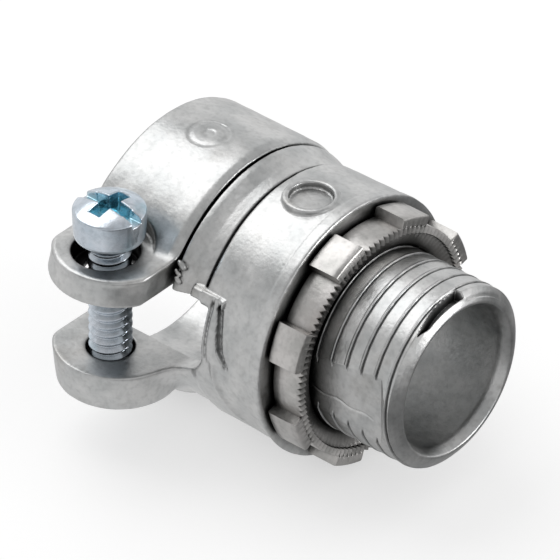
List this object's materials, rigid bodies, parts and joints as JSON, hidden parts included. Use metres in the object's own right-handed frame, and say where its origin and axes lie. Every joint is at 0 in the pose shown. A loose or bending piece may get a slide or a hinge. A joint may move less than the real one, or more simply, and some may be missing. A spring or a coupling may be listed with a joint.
{
  "type": "clamp connector for flexible metal conduit",
  "caption": "Straight die-cast conduit connector with a threaded hub and locknut, a barrel, and a split collar drawn shut by a screw through two ears.",
  "frame": {"origin": "on the hub's axis, in the plane of the shoulder that seats on a box wall", "axes": "+X along the hub to its threaded end, -X into the conduit socket, -Y out to the clamp ears, +Z the side of the clamp screw's head"},
  "size_m": [0.0415, 0.0385, 0.032],
  "materials": {
    "cast_zinc": null,
    "plated_screw": "bright zinc plate with a blue cast",
    "cast_nut": null
  },
  "bodies": {
    "body": {"body_casting": "cast_zinc"},
    "jaw": {"upper_jaw": "cast_zinc"},
    "screw": {"clamp_screw": "plated_screw"},
    "nut": {"locknut": "cast_nut"}
  },
  "joints": [
    {"name": "screw_advance", "type": "slide", "parent": "body", "child": "screw", "axis": [0, 0, -1], "range_m": [0, 0.0041]},
    {"name": "jaw_flex", "type": "hinge", "parent": "body", "child": "jaw", "pos_m": [-0.0201, 0.0126, 0.003], "axis": [1, 0, 0], "range_deg": [0, 6]},
    {"name": "locknut_travel", "type": "slide", "parent": "body", "child": "nut", "axis": [1, 0, 0], "range_m": [0, 0.015]}
  ],
  "couplings": [
    {"joint": "jaw_flex", "follows": "screw_advance", "rad_per_m": 25.5}
  ]
}
